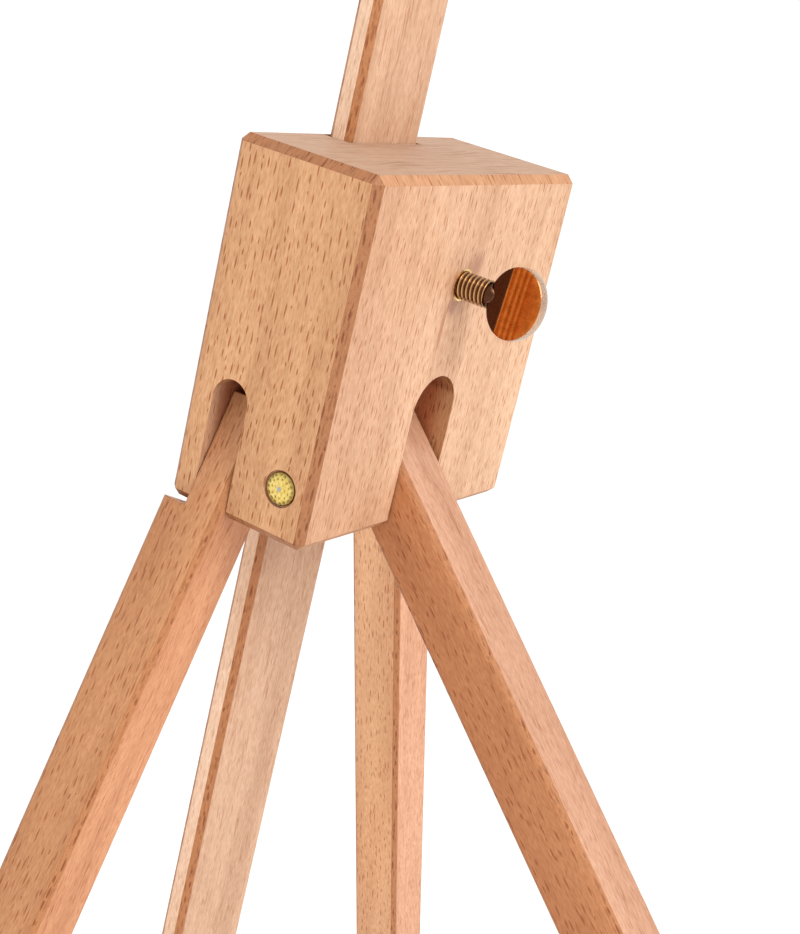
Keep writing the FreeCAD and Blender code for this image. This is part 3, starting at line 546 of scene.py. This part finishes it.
def antique(name, m, shaft):
    """Antiqued brass with its own axes: z along the screw.  The face nearest the shaft is painted
    almost black as a painted reflection, the thread is dark brown in the roots with its crests
    painted light as a painted highlight, and the rim is painted paler, partly rubbed wear and
    partly a painted sheen."""
    g = Graph(name)
    ax = (m.to_3x3().col[0], m.to_3x3().col[1], m.to_3x3().col[2])
    P, Nl = g.local(m.translation, ax)
    x, y, z = g.split(P)
    nx, ny, nz = g.split(g.vec("ABSOLUTE", Nl))
    r = g.vec("LENGTH", g.join(x, y, 0.0))
    n1 = g.noise(P, 0.6, 4.0, 0.6)
    n2 = g.noise(P, 3.0, 3.0, 0.6)
    body = g.mix(g.ramp(n1, 0.35, 0.65), (0.36, 0.085, 0.012), (0.52, 0.135, 0.022))
    cz = shaft + 5.9
    # painted reflection: the face nearest the shaft is painted almost black, standing in for a dark reflection
    neck_dark_reflection = g.step(z, cz - 2.11, cz - 2.26)
    body = g.mix(g.mul(neck_dark_reflection, 0.93), body, (0.050, 0.024, 0.016))
    groove = g.step(g.math("ABSOLUTE", x), 1.69, 1.58)
    flat = g.step(nx, 0.55, 0.8)
    # the rim is painted paler: partly rubbed wear, partly a painted sheen
    rim = g.step(nx, 0.72, 0.45)
    body = g.mix(g.mul(rim, 0.9), body, g.mix(g.ramp(n2, 0.35, 0.65), (0.36, 0.23, 0.15), (0.66, 0.47, 0.33)))
    # painted highlight: the thread is dark brown in the roots and its crests are painted light
    thread = g.mix(g.step(r, 2.62, 2.93), (0.085, 0.030, 0.013), (0.52, 0.29, 0.12))
    on_shaft = g.step(z, shaft + 0.3, shaft - 0.2)
    col = g.mix(on_shaft, body, thread)
    g.nt.links.new(col, g.bsdf.inputs["Base Color"])
    g.bsdf.inputs["Metallic"].default_value = 1.0
    g.nt.links.new(g.ramp(n2, 0.3, 0.7, 0.16, 0.30), g.bsdf.inputs["Roughness"])
    g.bump(n2, 0.08, 0.0001)
    return g.mat


def thumb_screw(tag, tip, axis, tilt, shaft, body):
    rot = Matrix.Rotation(tilt, 3, axis)
    m = frame_of(tip, axis, rot @ W)
    mat = antique("antique_" + tag, m, shaft)
    bm = bmesh.new()
    add_thread(bm, m, 0.02, shaft - 0.6)
    add_lathe(bm, m, ((0, 0.01), (2.38, 0.01), (2.43, 0.03), (2.43, shaft - 0.65), (2.30, shaft - 0.2), (1.75, shaft + 0.9), (1.2, shaft + 1.4), (0, shaft + 1.5)))
    add_spade(bm, m, shaft - 0.4 + 6.3)
    ob = make(tag + "_thumb_screw", bm, mat, body)
    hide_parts(tag + "_screw")
    return ob


def soften(node, body, width=0.5, seg=3, longer=4.0, inset=0.0):
    """The same solid with its arrises eased, as sanding leaves them."""
    src = NODE[node]
    bm = bmesh.new()
    bm.from_mesh(src.data)
    bmesh.ops.remove_doubles(bm, verts=bm.verts, dist=2e-6)
    bmesh.ops.dissolve_limit(bm, angle_limit=math.radians(1.0), verts=bm.verts, edges=bm.edges)
    bm.normal_update()
    pick = [e for e in bm.edges if len(e.link_faces) == 2 and e.calc_length() > longer * MM
            and e.calc_face_angle(0.0) > math.radians(25)]
    bmesh.ops.bevel(bm, geom=pick, offset=width * MM, offset_type="OFFSET", segments=seg,
                    profile=0.5, affect="EDGES", clamp_overlap=True)
    if inset:
        bm.normal_update()
        for v, n in [(v, v.normal.copy()) for v in bm.verts]:
            v.co -= n * inset * MM
    me = bpy.data.meshes.new(node + "_eased")
    bm.to_mesh(me)
    bm.free()
    for poly in me.polygons:
        poly.use_smooth = True
    me.set_sharp_from_angle(angle=math.radians(32))
    ob = bpy.data.objects.new(node + "_eased", me)
    bpy.context.scene.collection.objects.link(ob)
    me.materials.append(src.material_slots[0].material)
    wn = ob.modifiers.new("weighted", "WEIGHTED_NORMAL")
    wn.keep_sharp = True
    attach(ob, body)
    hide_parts(node)
    return ob


soften("hub_block", "head", 0.55)
soften("mast", "mast", 0.3, inset=0.02)
for s in ("left", "right", "rear"):
    soften("leg_" + s, "leg_" + s, 0.4)
soften("ledge_slider", "ledge", 0.4)
soften("ledge_shelf", "ledge", 0.4)
soften("ledge_lip", "ledge", 0.4)
soften("holder_slider", "holder", 0.4)
soften("holder_jaw", "holder", 0.4)

thumb_screw("hub", at(0, 8.5 + 1.5, 53.2), V, math.radians(-8.0), 31.8, "head_thumb_screw")
thumb_screw("ledge", at(0, 2.5 - 1.5, -200.0), -V, 0.0, 22.0, "ledge_thumb_screw")
thumb_screw("holder", at(0, 8.5 + 1.5, 206.0), V, 0.0, 18.0, "holder_thumb_screw")


def rivet(tag, face, axis, side, length, body="head"):
    """Pin with a hammered domed head."""
    m = frame_of(face, axis, side)
    g = Graph("hammered_" + tag)
    P, Nl = g.local(face, (m.to_3x3().col[0], m.to_3x3().col[1], m.to_3x3().col[2]))
    x, y, z = g.split(P)
    r = g.vec("LENGTH", g.join(x, y, 0.0))
    n2 = g.noise(P, 1.3, 3.0, 0.6)
    pits = g.step(z, 0.95, 0.62)
    col = g.mix(g.ramp(n2, 0.35, 0.65), (0.72, 0.50, 0.10), (0.86, 0.70, 0.26))
    col = g.mix(g.mul(pits, 0.75), col, (0.16, 0.085, 0.02))
    col = g.mix(g.step(r, 0.62, 0.45), col, (0.42, 0.42, 0.40))
    g.nt.links.new(col, g.bsdf.inputs["Base Color"])
    g.bsdf.inputs["Metallic"].default_value = 1.0
    g.nt.links.new(g.ramp(n2, 0.3, 0.7, 0.22, 0.38), g.bsdf.inputs["Roughness"])
    g.bump(n2, 0.15, 0.0001)
    rnd = random.Random(7)
    dents = []
    for ring, cnt in ((1.15, 6), (2.05, 11), (2.9, 16)):
        for i in range(cnt):
            a = 2 * math.pi * (i + rnd.uniform(-0.18, 0.18)) / cnt + ring
            rr = ring + rnd.uniform(-0.12, 0.12)
            dents.append((rr * math.cos(a), rr * math.sin(a), rnd.uniform(0.26, 0.40)))
    bm = bmesh.new()
    n = 96
    rings = []
    R = 3.45
    levels = [i * R / 30 for i in range(1, 31)]

    def top(px, py):
        q = math.hypot(px, py) / R
        h = 1.12 * (1 - 0.42 * q ** 2.2)
        if q > 0.93:
            h -= (q - 0.93) / 0.07 * 0.25
        for dx, dy, dr in dents:
            e = ((px - dx) ** 2 + (py - dy) ** 2) / (dr * dr)
            h -= 0.30 * math.exp(-1.6 * e)
        if math.hypot(px, py) < 0.5:
            h -= 0.08
        return h
    c = bm.verts.new(m @ (Vector((0, 0, top(0, 0))) * MM))
    for q in levels:
        rings.append([bm.verts.new(m @ (Vector((q * math.cos(2 * math.pi * i / n), q * math.sin(2 * math.pi * i / n),
                                                top(q * math.cos(2 * math.pi * i / n), q * math.sin(2 * math.pi * i / n)))) * MM))
                      for i in range(n)])
    for r0, z0 in ((3.45, 0.02), (2.0, 0.0), (2.0, -length + 0.6), (1.6, -length)):
        rings.append([bm.verts.new(m @ (Vector((r0 * math.cos(2 * math.pi * i / n), r0 * math.sin(2 * math.pi * i / n), z0)) * MM))
                      for i in range(n)])
    tail = bm.verts.new(m @ (Vector((0, 0, -length)) * MM))
    for i in range(n):
        j = (i + 1) % n
        bm.faces.new((c, rings[0][i], rings[0][j]))
        for r0, r1 in zip(rings, rings[1:]):
            bm.faces.new((r0[i], r0[j], r1[j], r1[i]))
        bm.faces.new((rings[-1][i], rings[-1][j], tail))
    ob = make("rivet_" + tag, bm, g.mat, body)
    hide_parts("pin_" + tag)


rivet("rear", at(39.0 - 0.8, 27.1, 11.2), U, W, 71.2)
rivet("left", at(29.6, 0.8, 11.2), -V, W, 19.2)
rivet("right", at(-29.6, 0.8, 11.2), -V, W, 19.2)

# ------------------------------------------------------------------ floor, light, camera
bpy.ops.mesh.primitive_plane_add(size=24, location=(0, 0, 0))
floor = bpy.context.object
floor.name = "floor"
gf = Graph("floor_paper")
tc = gf.new("ShaderNodeTexCoord")
fn = gf.noise(tc.outputs["Object"], 3.0, 2.0)
gf.nt.links.new(gf.mix(gf.ramp(fn, 0.3, 0.7), (0.90, 0.90, 0.90), (0.93, 0.93, 0.93)), gf.bsdf.inputs["Base Color"])
gf.bsdf.inputs["Roughness"].default_value = 0.9
gf.bsdf.inputs["Specular IOR Level"].default_value = 0.1
set_material(floor, gf.mat)

world = bpy.data.worlds.new("studio")
world.use_nodes = True
bg = world.node_tree.nodes["Background"]
bg.inputs["Color"].default_value = (1.0, 1.0, 1.0, 1.0)
bg.inputs["Strength"].default_value = 1.12
bpy.context.scene.world = world


def area(name, loc, target, size, power, colour=(1, 1, 1)):
    d = bpy.data.lights.new(name, "AREA")
    d.shape = "RECTANGLE"
    d.size, d.size_y = size
    d.energy = power
    d.color = colour
    o = bpy.data.objects.new(name, d)
    bpy.context.scene.collection.objects.link(o)
    o.location = loc
    o.rotation_euler = (Vector(loc) - Vector(target)).to_track_quat("Z", "Y").to_euler()
    return o


centre = Vector((0, -0.03, 0.33))
area("key", (0.15, 1.25, 1.10), centre, (0.9, 0.9), 14.0)

cam_data = bpy.data.cameras.new("camera")
cam_data.sensor_width = 36.0
cam_data.lens = 65.45
cam_data.clip_start = 0.01
cam_data.clip_end = 60.0
cam = bpy.data.objects.new("camera", cam_data)
bpy.context.scene.collection.objects.link(cam)
cam.location = (0.3010, 0.1677, 0.3576)
back = Vector((0.82418, 0.53944, 0.17241))
cam.rotation_euler = back.to_track_quat("Z", "Y").to_euler()
bpy.context.scene.camera = cam
bpy.context.scene.view_settings.view_transform = "Standard"
